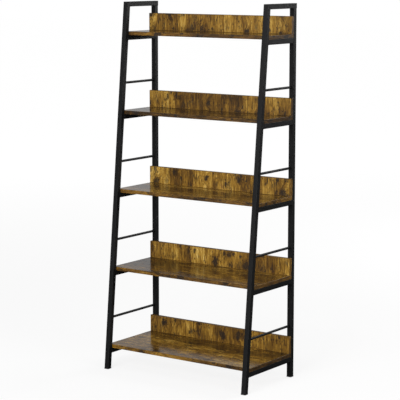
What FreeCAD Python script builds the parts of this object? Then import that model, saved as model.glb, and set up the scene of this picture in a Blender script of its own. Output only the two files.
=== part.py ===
"""Ladder shelf: two welded side frames of square steel tube carry five boards.

Each side frame has a vertical rear post, a front post that leans back, a top
rail, five shelf rails and four round side rods.  Every board rests on a pair
of shelf rails and has a low back board standing on its rear edge.

Frame: origin at the bottom centre of the whole object, +Z up, the front faces
-Y, the long side of the shelves runs along X.  Millimetres.
"""
import FreeCAD, Part
import os

import Sketcher
from FreeCAD import Placement, Rotation, Vector

SHELF_COUNT = 5
ROD_COUNT = SHELF_COUNT - 1
SIDES = {"left": -1, "right": 1}

# Driving dimensions: alias, value in millimetres, what it is.
SIZES = (
    ("overall_width", 700.0, "across the outer faces of the two side frames"),
    ("frame_height", 1500.0, "floor to the top of the top rails"),
    ("floor_depth", 350.0, "front post to rear post, outside, on the floor"),
    ("top_depth", 205.0, "front post to rear post, outside, at the top"),
    ("tube_side", 20.0, "side of the square tube"),
    ("tube_wall", 1.2, "wall of the square tube"),
    ("tube_round", 1.2, "outer corner radius of the square tube"),
    ("rod_diameter", 10.0, "round side rods"),
    ("rod_rise", 112.0, "rod centre above the shelf below it"),
    ("lowest_shelf_top", 100.0, "floor to the top of the lowest shelf"),
    ("top_shelf_drop", 120.0, "top shelf's surface below the top of the frame"),
    ("shelf_thickness", 15.0, "shelf board"),
    ("back_board_thickness", 15.0, "back board"),
    ("back_board_height", 70.0, "back board"),
    ("board_gap", 0.5, "shelf board to each post"),
    ("foot_head", 4.0, "foot cap below the end of the tube"),
    ("foot_overhang", 0.8, "foot cap beyond the faces of the tube"),
    ("foot_plug_length", 14.0, "foot cap inside the tube"),
    ("foot_chamfer", 1.0, "lower edge of the foot cap"),
    ("rail_plug_head", 1.5, "end plug beyond the end of the top rail"),
    ("rail_plug_length", 12.0, "end plug inside the top rail"),
    ("plug_gap", 0.2, "plug to the inner face of the tube"),
    ("plug_wall", 2.0, "wall of the hollow plugs"),
    ("bolt_diameter", 6.0, "bolt shank"),
    ("bolt_hole", 6.6, "clearance hole through the tubes"),
    ("driver_hole", 12.0, "hole under a shelf rail that a shelf bolt and its key pass through"),
    ("bolt_head_diameter", 10.5, "button head"),
    ("bolt_head_height", 3.0, "button head"),
    ("bolt_crown_diameter", 6.4, "flat crown of the button head"),
    ("bolt_head_rim", 1.0, "straight rim of the button head"),
    ("bolt_engagement", 9.0, "bolt inside its insert nut"),
    ("socket_flats", 4.0, "hexagon socket across its flats"),
    ("socket_depth", 1.8, "hexagon socket"),
    ("insert_diameter", 10.0, "insert nut, outside"),
    ("insert_length", 10.0, "insert nut"),
    ("thread_gap", 0.05, "bolt to the bore of its insert nut, on the radius"),
    ("shelf_bolt_inset", 32.0, "shelf bolts in from the front and rear edges"),
)

# Values worked out from the driving dimensions: alias, formula, what it is.
WORKED_OUT = (
    ("lean", "(Sizes.floor_depth - Sizes.top_depth) / Sizes.frame_height",
     "how far the front post moves back for each unit of height"),
    ("slant", "sqrt(1 + lean * lean)", "length along the front post for each unit of height"),
    ("post_run", "Sizes.tube_side * slant", "front post, front to back on a level cut"),
    ("wall_run", "Sizes.tube_wall * slant", "wall of the front post on a level cut"),
    ("cap_reach", "Sizes.foot_overhang - lean * Sizes.foot_chamfer",
     "front foot cap beyond the front post's face on the floor"),
    ("rear_face", "(Sizes.floor_depth + cap_reach - Sizes.bolt_head_height) / 2",
     "rear face of the rear posts, which centres the whole object on the origin"),
    ("post_face", "rear_face - Sizes.tube_side", "front face of the rear posts"),
    ("front_face", "rear_face - Sizes.floor_depth", "front face of the front posts on the floor"),
    ("front_post_back", "front_face + post_run", "back face of the front posts on the floor"),
    ("rail_underside", "Sizes.frame_height - Sizes.tube_side", "underside of the top rails"),
    ("side_centre", "(Sizes.overall_width - Sizes.tube_side) / 2",
     "middle of each side frame from the middle of the object"),
    ("bore_side", "Sizes.tube_side - 2 * Sizes.tube_wall", "inside of the square tube"),
    ("plug_side", "bore_side - 2 * Sizes.plug_gap", "plug that fits inside the square tube"),
    ("plug_run", "wall_run + Sizes.plug_gap * slant", "front post's face to its plug, on a level cut"),
    ("shelf_spacing",
     "(Sizes.frame_height - Sizes.top_shelf_drop - Sizes.lowest_shelf_top) / {}".format(ROD_COUNT),
     "one shelf's surface to the next"),
    ("shelf_bolt_length", "Sizes.tube_wall + Sizes.bolt_engagement",
     "shelf bolt below its head, through the upper wall of the rail"),
    ("back_bolt_length", "Sizes.tube_side + Sizes.bolt_engagement",
     "back board bolt below its head, right through the rear post"),
    ("insert_bore", "Sizes.bolt_diameter + 2 * Sizes.thread_gap", "bore of the insert nuts"),
)

doc = FreeCAD.newDocument("ladder_shelf")
parts = {}


# ---- sheets of sizes -------------------------------------------------------

def add_sheet(name, rows, as_formula):
    """Make a sheet with one aliased cell per row: value in A, words in B."""
    sheet = doc.addObject("Spreadsheet::Sheet", name)
    for number, (alias, content, words) in enumerate(rows, start=1):
        text = "=" + content if as_formula else str(content)
        sheet.set("A{}".format(number), text)
        sheet.setAlias("A{}".format(number), alias)
        sheet.set("B{}".format(number), words)
    doc.recompute()
    return sheet


sizes = add_sheet("Sizes", SIZES, as_formula=False)
worked = add_sheet("Worked", WORKED_OUT, as_formula=True)


def shelf_top(number):
    """Formula of the surface of a shelf, 1 at the top and SHELF_COUNT at the bottom."""
    steps_up = SHELF_COUNT - number
    return "(Sizes.lowest_shelf_top + {} * Worked.shelf_spacing)".format(steps_up)


def shelf_front(number):
    """Formula of a shelf's front edge, just behind the front post at the shelf's surface."""
    return "(Worked.front_post_back + Worked.lean * {} + Sizes.board_gap)".format(shelf_top(number))


def rod_height(number):
    """Formula of a rod's centre: rod 1 is between shelves 1 and 2."""
    return "({} + Sizes.rod_rise)".format(shelf_top(number + 1))


# ---- sketching helpers -----------------------------------------------------

def add_body(name):
    """Make the body of one piece and remember it under its node name."""
    body = doc.addObject("PartDesign::Body", name)
    body.Label = name
    parts[name] = body
    return body


def place(body, **formulas):
    """Bind the body's position along x, y or z to formulas."""
    for axis, formula in formulas.items():
        body.setExpression("Placement.Base." + axis, formula)


def origin_plane(body, role):
    """Find one of the body's own origin planes by its role."""
    for feature in body.Origin.OriginFeatures:
        if feature.Role == role:
            return feature
    raise ValueError("no origin plane " + role)


def add_sketch(body, name, role):
    """Make an empty sketch on one of the body's origin planes."""
    sketch = body.newObject("Sketcher::SketchObject", body.Label + "_" + name)
    sketch.AttachmentSupport = [(origin_plane(body, role), "")]
    sketch.MapMode = "FlatFace"
    return sketch


def bind_point(sketch, geometry, corner, across, up):
    """Bind the two coordinates of a point in a sketch to formulas."""
    for kind, formula in (("DistanceX", across), ("DistanceY", up)):
        row = sketch.addConstraint(Sketcher.Constraint(kind, geometry, corner, 1.0))
        sketch.setExpression("Constraints[{}]".format(row), formula)


def evaluate(formula):
    """Work out a formula of the sheets as a plain number."""
    return float(sizes.evalExpression(formula.replace("Worked.", "<<Worked>>.")
                                      .replace("Sizes.", "<<Sizes>>.")))


def polygon_sketch(body, name, role, corners):
    """Sketch a closed polygon whose corners are pairs of formulas."""
    sketch = add_sketch(body, name, role)
    points = [Vector(evaluate(across), evaluate(up), 0) for across, up in corners]
    count = len(points)
    for index in range(count):
        sketch.addGeometry(Part.LineSegment(points[index], points[(index + 1) % count]), False)
    for index in range(count):
        following = (index + 1) % count
        sketch.addConstraint(Sketcher.Constraint("Coincident", index, 2, following, 1))
    for index, (across, up) in enumerate(corners):
        bind_point(sketch, index, 1, across, up)
    return sketch


def circle_sketch(body, name, role, centres, diameter):
    """Sketch equal circles whose centres are pairs of formulas."""
    sketch = add_sketch(body, name, role)
    radius = evaluate(diameter) / 2
    for index, (across, up) in enumerate(centres):
        centre = Vector(evaluate(across), evaluate(up), 0)
        sketch.addGeometry(Part.Circle(centre, Vector(0, 0, 1), radius), False)
        bind_point(sketch, index, 3, across, up)
        row = sketch.addConstraint(Sketcher.Constraint("Diameter", index, 2 * radius))
        sketch.setExpression("Constraints[{}]".format(row), diameter)
    return sketch


def rectangle(left, right, low, high):
    """Corners of a rectangle between four formulas."""
    return [(left, low), (right, low), (right, high), (left, high)]


def centred(width, low, high):
    """Corners of a rectangle centred across the sketch's vertical axis."""
    return rectangle("-({}) / 2".format(width), "({}) / 2".format(width), low, high)


def pad(body, sketch, length, middle=False, reverse=False):
    """Grow a sketch into a solid and check that it added material."""
    before = volume_of(body)
    feature = body.newObject("PartDesign::Pad", sketch.Name + "_pad")
    feature.Profile = sketch
    feature.setExpression("Length", length)
    feature.Midplane = middle
    feature.Reversed = reverse
    doc.recompute()
    assert volume_of(body) > before, feature.Name + " added nothing"
    return feature


def pocket(body, sketch, length=None, middle=False, reverse=False):
    """Cut a sketch out of the solid, right through when no length is given."""
    before = volume_of(body)
    feature = body.newObject("PartDesign::Pocket", sketch.Name + "_cut")
    feature.Profile = sketch
    if length is None:
        feature.Type = "ThroughAll"
    else:
        feature.setExpression("Length", length)
    feature.Midplane = middle
    feature.Reversed = reverse
    doc.recompute()
    assert volume_of(body) < before, feature.Name + " cut nothing"
    return feature


def volume_of(body):
    """Volume of the body as it stands, 0 before its first feature."""
    return body.Shape.Volume if body.Shape and not body.Shape.isNull() else 0.0


def round_edges(body, base, name, radius, wanted):
    """Round the straight edges of the base feature whose direction and middle are wanted."""
    names = []
    for number, edge in enumerate(base.Shape.Edges, start=1):
        direction = edge.tangentAt(edge.FirstParameter)
        middle = edge.CenterOfMass
        if wanted(direction, middle):
            names.append("Edge{}".format(number))
    feature = body.newObject("PartDesign::Fillet", body.Label + "_" + name)
    feature.Base = (base, names)
    feature.setExpression("Radius", radius)
    doc.recompute()
    return feature


# ---- side frames -----------------------------------------------------------

def square_tube(name, side, outline, bore):
    """Make a square tube of a side frame from its side outline and its bore's outline.

    Both outlines lie in the upright plane through the middle of the side frame.
    The line from an outline's second corner to its third runs along the tube.
    The tube's four long edges are rounded and its ends are left open.
    """
    body = add_body(name)
    solid = pad(body, polygon_sketch(body, "outline", "YZ_Plane", outline),
                "Sizes.tube_side", middle=True)
    along = (Vector(0, evaluate(outline[1][0]), evaluate(outline[1][1]))
             - Vector(0, evaluate(outline[2][0]), evaluate(outline[2][1]))).normalize()
    nearly_one = 0.9999
    round_edges(body, solid, "corners", "Sizes.tube_round",
                lambda direction, middle: abs(direction.dot(along)) > nearly_one)
    pocket(body, polygon_sketch(body, "bore", "YZ_Plane", bore), "Worked.bore_side", middle=True)
    place(body, x="{} * Worked.side_centre".format(side))
    return body


def leaning(face, height):
    """Corner on a leaning face of the front post at a height."""
    return ("{} + Worked.lean * ({})".format(face, height), height)


def front_post(name, side):
    """Leaning front post, level at the foot and mitred to the top rail."""
    outline = [
        leaning("Worked.front_post_back", "Worked.rail_underside"),
        leaning("Worked.front_face", "Sizes.frame_height"),
        leaning("Worked.front_face", "Sizes.foot_head"),
        leaning("Worked.front_post_back", "Sizes.foot_head"),
    ]
    bore = [
        leaning("Worked.front_face + Worked.wall_run", "0"),
        leaning("Worked.front_post_back - Worked.wall_run", "0"),
        leaning("Worked.front_post_back - Worked.wall_run", "Sizes.frame_height"),
        leaning("Worked.front_face + Worked.wall_run", "Sizes.frame_height"),
    ]
    return square_tube(name, side, outline, bore)


def rear_post(name, side):
    """Upright rear post with one bolt hole for each back board."""
    outline = rectangle("Worked.post_face", "Worked.rear_face", "Sizes.foot_head",
                        "Worked.rail_underside")
    bore = rectangle("Worked.post_face + Sizes.tube_wall", "Worked.rear_face - Sizes.tube_wall",
                     "0", "Sizes.frame_height")
    body = square_tube(name, side, outline, bore)
    centres = [("0", back_bolt_height(number)) for number in range(1, SHELF_COUNT + 1)]
    pocket(body, circle_sketch(body, "bolt_holes", "XZ_Plane", centres, "Sizes.bolt_hole"),
           middle=True)
    return body


def top_rail(name, side):
    """Top rail, mitred to the front post and running over the rear post."""
    outline = [
        leaning("Worked.front_face", "Sizes.frame_height"),
        leaning("Worked.front_post_back", "Worked.rail_underside"),
        ("Worked.rear_face", "Worked.rail_underside"),
        ("Worked.rear_face", "Sizes.frame_height"),
    ]
    bore = rectangle("Worked.front_face", "Worked.rear_face + Sizes.tube_side",
                     "Worked.rail_underside + Sizes.tube_wall",
                     "Sizes.frame_height - Sizes.tube_wall")
    return square_tube(name, side, outline, bore)


def shelf_rail(name, side, number):
    """Shelf rail between the posts, its front end cut to the lean of the front post.

    A shelf bolt's head sits inside the rail, under its upper wall, and goes in
    through a larger hole in the lower wall.
    """
    top = "{} - Sizes.shelf_thickness".format(shelf_top(number))
    bottom = "{} - Sizes.tube_side".format(top)
    outline = [
        leaning("Worked.front_post_back", top),
        leaning("Worked.front_post_back", bottom),
        ("Worked.post_face", bottom),
        ("Worked.post_face", top),
    ]
    bore = rectangle("Worked.front_face", "Worked.rear_face",
                     "{} + Sizes.tube_wall".format(bottom), "{} - Sizes.tube_wall".format(top))
    body = square_tube(name, side, outline, bore)
    centres = [("0", across) for across in shelf_bolt_depths(number)]
    driver_holes = circle_sketch(body, "driver_holes", "XY_Plane", centres, "Sizes.driver_hole")
    driver_holes.setExpression("AttachmentOffset.Base.z", bottom)
    pocket(body, driver_holes, "Sizes.tube_side / 2", reverse=True)
    pocket(body, circle_sketch(body, "bolt_holes", "XY_Plane", centres, "Sizes.bolt_hole"),
           reverse=True)
    return body


def side_rod(name, side, number):
    """Round rod between the posts, its front end cut to the lean of the front post."""
    body = add_body(name)
    height = rod_height(number)
    radius = "Sizes.rod_diameter / 2"
    low = "{} - {}".format(height, radius)
    high = "{} + {}".format(height, radius)
    section = circle_sketch(body, "section", "XZ_Plane", [("0", height)], "Sizes.rod_diameter")
    section.AttachmentOffset = Placement(Vector(0, 0, -evaluate("Worked.post_face")), Rotation())
    section.setExpression("AttachmentOffset.Base.z", "-Worked.post_face")
    front_at_low = "(Worked.front_post_back + Worked.lean * ({}))".format(low)
    pad(body, section, "Worked.post_face - {}".format(front_at_low))
    waste = [
        leaning("Worked.front_post_back", low),
        leaning("Worked.front_post_back", high),
        ("{} - Sizes.rod_diameter".format(front_at_low), high),
        ("{} - Sizes.rod_diameter".format(front_at_low), low),
    ]
    pocket(body, polygon_sketch(body, "end_cut", "YZ_Plane", waste), "2 * Sizes.rod_diameter",
           middle=True)
    place(body, x="{} * Worked.side_centre".format(side))
    return body


# ---- plastic caps and plugs ------------------------------------------------

def foot_cap(name, side, front, run, shift, plug_step):
    """Push-in foot cap: a head under the tube and a hollow plug inside it.

    front and run are the tube's front face and depth on the floor, shift is how
    far it moves back for each unit of height, and plug_step is from the tube's
    outer face to the plug.
    """
    body = add_body(name)

    def slice_between(inset, bottom, top):
        """Side outline of the tube's lean between two heights, inset from its faces."""
        near = "{} + {}".format(front, inset)
        far = "{} + {} - ({})".format(front, run, inset)
        return [
            ("{} + {} * ({})".format(near, shift, bottom), bottom),
            ("{} + {} * ({})".format(far, shift, bottom), bottom),
            ("{} + {} * ({})".format(far, shift, top), top),
            ("{} + {} * ({})".format(near, shift, top), top),
        ]

    head_outline = slice_between("-Sizes.foot_overhang", "0", "Sizes.foot_head")
    head = pad(body, polygon_sketch(body, "head", "YZ_Plane", head_outline),
               "Sizes.tube_side + 2 * Sizes.foot_overhang", middle=True)
    upright = 0.9
    rounded = round_edges(body, head, "corners", "Sizes.tube_round + Sizes.foot_overhang",
                          lambda direction, middle: abs(direction.z) > upright)
    on_floor = 1e-6
    names = ["Edge{}".format(number) for number, edge in enumerate(rounded.Shape.Edges, start=1)
             if edge.BoundBox.ZMax < on_floor]
    chamfer = body.newObject("PartDesign::Chamfer", name + "_lower_edge")
    chamfer.Base = (rounded, names)
    chamfer.setExpression("Size", "Sizes.foot_chamfer")
    plug_top = "Sizes.foot_head + Sizes.foot_plug_length"
    plug_outline = slice_between(plug_step, "Sizes.foot_head", plug_top)
    pad(body, polygon_sketch(body, "plug", "YZ_Plane", plug_outline), "Worked.plug_side",
        middle=True)
    hollow = slice_between("{} + Sizes.plug_wall".format(plug_step), "Sizes.foot_head", plug_top)
    pocket(body, polygon_sketch(body, "hollow", "YZ_Plane", hollow),
           "Worked.plug_side - 2 * Sizes.plug_wall", middle=True)
    place(body, x="{} * Worked.side_centre".format(side))
    return body


def top_rail_plug(name, side):
    """Push-in plug that closes the rear end of the top rail."""
    body = add_body(name)
    head_low = "-Sizes.tube_side / 2"
    head_high = "Sizes.tube_side / 2"
    head = pad(body, polygon_sketch(body, "head", "XZ_Plane",
                                    centred("Sizes.tube_side", head_low, head_high)),
               "Sizes.rail_plug_head", reverse=True)
    lengthwise = 0.9
    round_edges(body, head, "corners", "Sizes.tube_round",
                lambda direction, middle: abs(direction.y) > lengthwise)
    plug = centred("Worked.plug_side", "-Worked.plug_side / 2", "Worked.plug_side / 2")
    pad(body, polygon_sketch(body, "plug", "XZ_Plane", plug), "Sizes.rail_plug_length")
    inner = "Worked.plug_side - 2 * Sizes.plug_wall"
    hollow = centred(inner, "-({}) / 2".format(inner), "({}) / 2".format(inner))
    pocket(body, polygon_sketch(body, "hollow", "XZ_Plane", hollow), "Sizes.rail_plug_length",
           reverse=True)
    place(body, x="{} * Worked.side_centre".format(side), y="Worked.rear_face",
          z="Sizes.frame_height - Sizes.tube_side / 2")
    return body


# ---- boards ----------------------------------------------------------------

def shelf_bolt_depths(number):
    """Formulas of the front and rear bolt positions under a shelf."""
    front = "{} + Sizes.shelf_bolt_inset".format(shelf_front(number))
    rear = "Worked.post_face - Sizes.board_gap - Sizes.shelf_bolt_inset"
    return (front, rear)


def back_bolt_height(number):
    """Formula of the height of the bolts that hold a back board."""
    return "({} + Sizes.back_board_height / 2)".format(shelf_top(number))


def shelf(name, number):
    """Shelf board on its rails, with blind holes for the insert nuts underneath."""
    body = add_body(name)
    half = "Sizes.overall_width / 2"
    outline = rectangle("-" + half, half, shelf_front(number), "Worked.post_face - Sizes.board_gap")
    pad(body, polygon_sketch(body, "outline", "XY_Plane", outline), "Sizes.shelf_thickness")
    centres = [("{} * Worked.side_centre".format(side), depth)
               for side in SIDES.values() for depth in shelf_bolt_depths(number)]
    holes = circle_sketch(body, "insert_holes", "XY_Plane", centres, "Sizes.insert_diameter")
    pocket(body, holes, "Sizes.insert_length", reverse=True)
    place(body, z="{} - Sizes.shelf_thickness".format(shelf_top(number)))
    return body


def back_board(name, number):
    """Back board standing on the rear of a shelf, against the rear posts."""
    body = add_body(name)
    outline = centred("Sizes.overall_width", "0", "Sizes.back_board_height")
    pad(body, polygon_sketch(body, "outline", "XZ_Plane", outline), "Sizes.back_board_thickness")
    centres = [("{} * Worked.side_centre".format(side), "Sizes.back_board_height / 2")
               for side in SIDES.values()]
    holes = circle_sketch(body, "insert_holes", "XZ_Plane", centres, "Sizes.insert_diameter")
    pocket(body, holes, "Sizes.insert_length", reverse=True)
    place(body, y="Worked.post_face", z=shelf_top(number))
    return body


# ---- fasteners -------------------------------------------------------------

def turned(name, half_outline):
    """Body turned about the vertical axis from half of its outline."""
    body = doc.addObject("PartDesign::Body", name)
    body.Label = name
    sketch = polygon_sketch(body, "half", "XZ_Plane", half_outline)
    feature = body.newObject("PartDesign::Revolution", name + "_turned")
    feature.Profile = sketch
    feature.ReferenceAxis = (sketch, ["V_Axis"])
    feature.Angle = 360
    doc.recompute()
    return body


def button_head_bolt(name, length):
    """Button head bolt pointing up, its head's seat at the origin, with a hexagon socket."""
    head = "Sizes.bolt_head_diameter / 2"
    shank = "Sizes.bolt_diameter / 2"
    crown = "Sizes.bolt_crown_diameter / 2"
    body = turned(name, [
        ("0", "-Sizes.bolt_head_height"),
        (crown, "-Sizes.bolt_head_height"),
        (head, "-Sizes.bolt_head_rim"),
        (head, "0"),
        (shank, "0"),
        (shank, length),
        ("0", length),
    ])
    half_flats = "Sizes.socket_flats / 2"
    corner = "Sizes.socket_flats / sqrt(3)"
    half_side = "Sizes.socket_flats / sqrt(3) / 2"
    hexagon = [
        (corner, "0"), (half_side, half_flats), ("-" + half_side, half_flats),
        ("-" + corner, "0"), ("-" + half_side, "-" + half_flats), (half_side, "-" + half_flats),
    ]
    socket = polygon_sketch(body, "socket", "XY_Plane", hexagon)
    socket.setExpression("AttachmentOffset.Base.z", "-Sizes.bolt_head_height")
    pocket(body, socket, "Sizes.socket_depth", reverse=True)
    return body


def insert_nut():
    """Plain sleeve with its mouth at the origin, reaching up into the board."""
    outer = "Sizes.insert_diameter / 2"
    bore = "Worked.insert_bore / 2"
    return turned("insert_nut", [
        (bore, "0"), (outer, "0"), (outer, "Sizes.insert_length"), (bore, "Sizes.insert_length"),
    ])


def group(name, master, placements):
    """Node that holds one copy of the master piece at each placement."""
    copies = []
    for placement in placements:
        copy = master.Shape.copy()
        copy.Placement = placement
        copies.append(copy)
    feature = doc.addObject("Part::Feature", name)
    feature.Label = name
    feature.Shape = Part.makeCompound(copies)
    feature.Placement = Placement()
    parts[name] = feature
    return feature


def shelf_bolt_spots(drop):
    """Placements below every shelf bolt's board, drop being a formula of the distance."""
    spots = []
    for number in range(1, SHELF_COUNT + 1):
        height = evaluate("{} - Sizes.shelf_thickness - {}".format(shelf_top(number), drop))
        for side in SIDES.values():
            across = side * evaluate("Worked.side_centre")
            for depth in shelf_bolt_depths(number):
                spots.append(Placement(Vector(across, evaluate(depth), height), Rotation()))
    return spots


def back_bolt_spots(face):
    """Placements of the bolts or inserts of the back boards, pointing forwards from a face."""
    forwards = Rotation(Vector(1, 0, 0), 90)
    spots = []
    for number in range(1, SHELF_COUNT + 1):
        height = evaluate(back_bolt_height(number))
        for side in SIDES.values():
            across = side * evaluate("Worked.side_centre")
            spots.append(Placement(Vector(across, evaluate(face), height), forwards))
    return spots


# ---- the whole object ------------------------------------------------------

def build():
    """Build every piece."""
    for word, side in SIDES.items():
        front_post(word + "_front_post", side)
        rear_post(word + "_rear_post", side)
        top_rail(word + "_top_rail", side)
        for number in range(1, SHELF_COUNT + 1):
            shelf_rail("{}_shelf_rail_{}".format(word, number), side, number)
        for number in range(1, ROD_COUNT + 1):
            side_rod("{}_side_rod_{}".format(word, number), side, number)
        foot_cap(word + "_front_foot_cap", side, "Worked.front_face", "Worked.post_run",
                 "Worked.lean", "Worked.plug_run")
        foot_cap(word + "_rear_foot_cap", side, "Worked.post_face", "Sizes.tube_side",
                 "0", "Sizes.tube_wall + Sizes.plug_gap")
        top_rail_plug(word + "_top_rail_plug", side)
    for number in range(1, SHELF_COUNT + 1):
        shelf("shelf_{}".format(number), number)
        back_board("back_board_{}".format(number), number)
    shelf_bolt = button_head_bolt("shelf_bolt", "Worked.shelf_bolt_length")
    back_bolt = button_head_bolt("back_bolt", "Worked.back_bolt_length")
    nut = insert_nut()
    group("shelf_bolts", shelf_bolt, shelf_bolt_spots("Sizes.tube_wall"))
    group("shelf_insert_nuts", nut, shelf_bolt_spots("0"))
    group("back_board_bolts", back_bolt, back_bolt_spots("Worked.rear_face"))
    group("back_board_insert_nuts", nut, back_bolt_spots("Worked.post_face"))
    doc.recompute()


def check():
    """Stop if any object failed or any piece has no valid solid."""
    for item in doc.Objects:
        bad = [state for state in item.State if state in ("Invalid", "Error")]
        assert not bad, "{} is {}".format(item.Label, bad)
    for name, item in parts.items():
        assert item.Shape and not item.Shape.isNull(), name + " has no shape"
        assert item.Shape.isValid(), name + " is not valid"
        assert item.Shape.Solids, name + " has no solid"


def write():
    """Write each piece to its own file."""
    os.makedirs("parts", exist_ok=True)
    for name, item in parts.items():
        item.Shape.exportStep("parts/{}.step".format(name))
        box = item.Shape.BoundBox
        print("{:26s} solids {:2d}  volume {:10.0f}  z {:7.1f} to {:7.1f}".format(
            name, len(item.Shape.Solids), item.Shape.Volume, box.ZMin, box.ZMax))


build()
check()
write()
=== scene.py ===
# %% [markdown]
# # A ladder shelf: black steel side frames and rustic laminated boards
# The measured frame comes in first and never moves.  Each tube, rod, board, cap and
# bolt is then modelled again with rounded corners, seams and weld beads, in the very
# place that the frame gives it, and gets a finish built from nodes.

# %% Load the frame
import math

import bmesh
import bpy
from mathutils import Matrix, Vector


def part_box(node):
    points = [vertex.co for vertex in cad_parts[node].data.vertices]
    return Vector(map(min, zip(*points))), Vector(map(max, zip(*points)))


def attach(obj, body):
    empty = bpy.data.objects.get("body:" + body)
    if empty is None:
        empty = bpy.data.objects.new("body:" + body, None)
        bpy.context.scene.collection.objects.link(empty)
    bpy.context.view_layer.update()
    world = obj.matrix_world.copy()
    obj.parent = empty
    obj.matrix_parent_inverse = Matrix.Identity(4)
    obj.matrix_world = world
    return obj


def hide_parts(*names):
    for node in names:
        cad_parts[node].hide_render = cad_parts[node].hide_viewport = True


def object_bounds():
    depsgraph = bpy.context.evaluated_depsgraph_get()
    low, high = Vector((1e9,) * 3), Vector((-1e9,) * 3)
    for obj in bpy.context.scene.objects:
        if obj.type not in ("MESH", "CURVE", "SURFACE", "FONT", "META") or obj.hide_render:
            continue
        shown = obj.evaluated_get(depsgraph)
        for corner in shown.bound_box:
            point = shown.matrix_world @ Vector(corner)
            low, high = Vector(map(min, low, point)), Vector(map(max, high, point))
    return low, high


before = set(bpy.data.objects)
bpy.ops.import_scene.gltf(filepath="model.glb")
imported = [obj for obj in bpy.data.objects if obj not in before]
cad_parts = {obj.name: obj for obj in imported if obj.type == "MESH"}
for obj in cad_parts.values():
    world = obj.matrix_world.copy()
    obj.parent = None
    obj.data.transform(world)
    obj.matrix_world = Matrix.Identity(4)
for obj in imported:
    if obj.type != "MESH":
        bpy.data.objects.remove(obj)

MM = 0.001
SHELF_COUNT = 5
ROD_COUNT = SHELF_COUNT - 1
SIDES = ("left", "right")

cad_low, cad_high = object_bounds()
print("frame box", [round(value, 4) for value in (*cad_low, *cad_high)])

# %% [markdown]
# ## Reading the shape of a side frame
# The front posts lean, so their boxes alone don't say where their faces are.  The top
# rail starts at the front face of the post at the very top, and the post's own box
# starts at the front face near the floor.  Two points give the lean, and the lean gives
# both faces of the post at any height.

# %% Measure the leaning posts
rail_low, rail_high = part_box("left_top_rail")
post_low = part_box("left_front_post")[0]

TUBE = rail_high.z - rail_low.z
LEAN = (rail_low.y - post_low.y) / (rail_high.z - post_low.z)
LEAN_ANGLE = math.atan(LEAN)
POST_RUN = TUBE / math.cos(LEAN_ANGLE)


def post_front(height):
    """Y of the front post's front face at a height."""
    return post_low.y + LEAN * (height - post_low.z)


def post_back(height):
    """Y of the front post's back face at a height."""
    return post_front(height) + POST_RUN


print("tube", round(TUBE / MM, 2), "mm, lean", round(math.degrees(LEAN_ANGLE), 2), "degrees")

# %% [markdown]
# ## From a bmesh to a piece
# Every piece ends the same way: its bmesh becomes a mesh, it rides on the one rigid body
# of the shelf, and it stands for the plain nodes that it replaces.  Rounded corners are
# shaded smooth, and a Weighted Normal modifier lets the large faces decide the normals
# round them, so that a flat face still looks flat right up to its rounded corner.

# %% Finish a piece
SMOOTH_UNDER = math.radians(35)


def finish_piece(name, shape, materials, nodes=()):
    """Turn a bmesh into a piece of the shelf that replaces some nodes of the frame."""
    bmesh.ops.recalc_face_normals(shape, faces=shape.faces)
    mesh = bpy.data.meshes.new(name)
    shape.to_mesh(mesh)
    shape.free()
    for material in materials:
        mesh.materials.append(material)
    mesh.polygons.foreach_set("use_smooth", [True] * len(mesh.polygons))
    mesh.set_sharp_from_angle(angle=SMOOTH_UNDER)
    piece = bpy.data.objects.new(name, mesh)
    bpy.context.scene.collection.objects.link(piece)
    flat_faces = piece.modifiers.new("flat_faces", "WEIGHTED_NORMAL")
    flat_faces.keep_sharp = True
    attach(piece, "root")
    if nodes:
        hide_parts(*nodes)
    return piece


# %% [markdown]
# ## Node helpers
# A material is a small graph.  These helpers add one node each and wire its inputs, which
# may be plain values or sockets of other nodes, so a finish reads from top to bottom.

# %% Add and wire nodes
def fill(tree, node, inputs):
    """Fill a node's inputs with plain values or links from other sockets."""
    for key, value in inputs.items():
        if isinstance(value, bpy.types.NodeSocket):
            tree.links.new(value, node.inputs[key])
        else:
            node.inputs[key].default_value = value


def wire(tree, kind, inputs=None, **settings):
    """Add a node, set its options and fill its inputs."""
    node = tree.nodes.new(kind)
    for option, value in settings.items():
        setattr(node, option, value)
    fill(tree, node, inputs or {})
    return node


def calc(tree, operation, first, second=0.0, third=0.0, clamp=False):
    """One Math node."""
    inputs = {0: first, 1: second, 2: third}
    return wire(tree, "ShaderNodeMath", inputs, operation=operation, use_clamp=clamp).outputs[0]


def times(tree, first, second):
    """Product of two values."""
    return calc(tree, "MULTIPLY", first, second)


def add_vectors(tree, first, second):
    """Sum of two vectors."""
    return wire(tree, "ShaderNodeVectorMath", {0: first, 1: second}, operation="ADD").outputs[0]


def remap(tree, value, low, high, to_low=0.0, to_high=1.0, smooth=False):
    """Map a range of a value onto another range, clamped."""
    style = "SMOOTHSTEP" if smooth else "LINEAR"
    inputs = {"Value": value, "From Min": low, "From Max": high, "To Min": to_low, "To Max": to_high}
    return wire(tree, "ShaderNodeMapRange", inputs, interpolation_type=style).outputs[0]


def blend(tree, factor, first, second):
    """Mix two colours."""
    inputs = {0: factor, 6: first, 7: second}
    return wire(tree, "ShaderNodeMix", inputs, data_type="RGBA").outputs[2]


def noise(tree, vector, scale, detail=3.0, roughness=0.5):
    """Value of a noise texture."""
    inputs = {"Vector": vector, "Scale": scale, "Detail": detail, "Roughness": roughness}
    return wire(tree, "ShaderNodeTexNoise", inputs).outputs["Fac"]


def stretch(tree, vector, across, along, depth=None):
    """Scale a vector by its own amount in each direction, to draw a pattern out along the grain."""
    factors = (across, along, across if depth is None else depth)
    return wire(tree, "ShaderNodeVectorMath", {0: vector, 1: factors},
                operation="MULTIPLY").outputs[0]


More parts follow.
